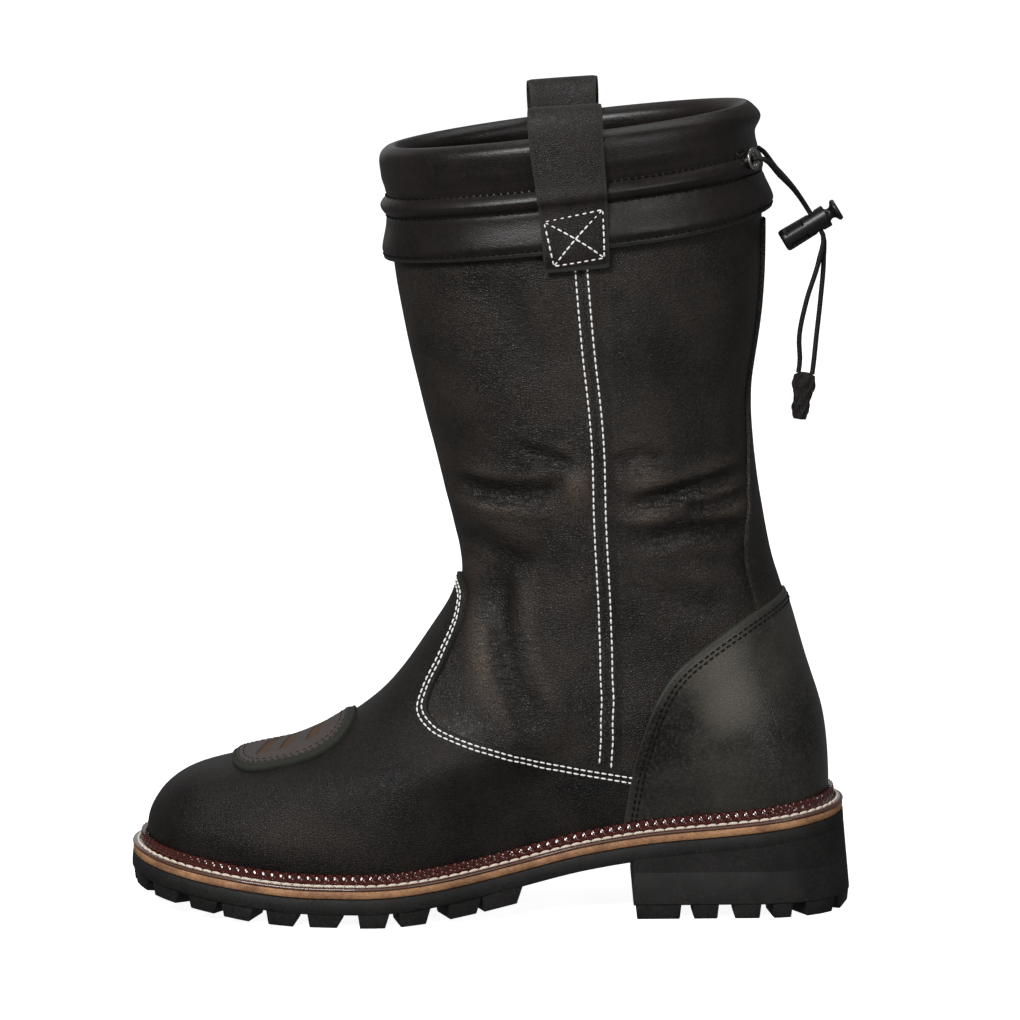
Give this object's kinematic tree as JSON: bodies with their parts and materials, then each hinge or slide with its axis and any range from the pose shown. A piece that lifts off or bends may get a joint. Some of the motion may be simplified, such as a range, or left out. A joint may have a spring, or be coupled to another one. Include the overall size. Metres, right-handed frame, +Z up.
{
  "type": "motorcycle boot",
  "caption": "Left mid-calf leather motorcycle boot with a lugged rubber sole, storm welt, toe shift pad, heel counter, padded drawcord cuff and side pull loops.",
  "frame": {"origin": "centre of the bounding box in plan, on the floor plane under the heel and forefoot lugs", "axes": "+X towards the heel, so the toe points to -X; -Y towards the outer side of the foot; +Z up the shaft"},
  "size_m": [0.3166, 0.1264, 0.3599],
  "materials": {
    "rubber": "matt black rubber",
    "tan_leather": "raw trimmed edge",
    "welt_leather": "glossy dark red brown",
    "lining": "dark lining",
    "black_leather": "waxed brown black",
    "counter_leather": "waxed green black",
    "cuff_leather": "soft semi-gloss black",
    "strap_leather": "waxed brown black with raw edges",
    "pad_leather": "matt mauve grey",
    "eyelet_metal": "polished",
    "cord": "braided black",
    "lock_plastic": "black"
  },
  "bodies": {
    "boot": {"outsole": "rubber", "heel_block": "rubber", "heel_lift": "rubber", "midsole": "tan_leather", "welt": "welt_leather", "insole": "lining", "upper": "black_leather", "vamp": "black_leather", "counter": "counter_leather", "back_stay": "black_leather", "shift_pad": "pad_leather", "collar_cuff": "cuff_leather", "pull_loop_lateral": "strap_leather", "pull_loop_medial": "strap_leather", "eyelet_lateral": "eyelet_metal", "eyelet_medial": "eyelet_metal", "cord_lock_barrel": "lock_plastic", "drawcord_lateral": "cord", "drawcord_medial": "cord", "cord_end_tab": "cuff_leather"},
    "plunger": {"cord_lock_plunger": "lock_plastic"}
  },
  "joints": [
    {"name": "plunger_press", "type": "slide", "parent": "boot", "child": "plunger", "axis": [-0.8536, 0, -0.521], "range_m": [0, 0.003], "stiffness_N_per_m": 450, "springref_m": -0.005}
  ]
}
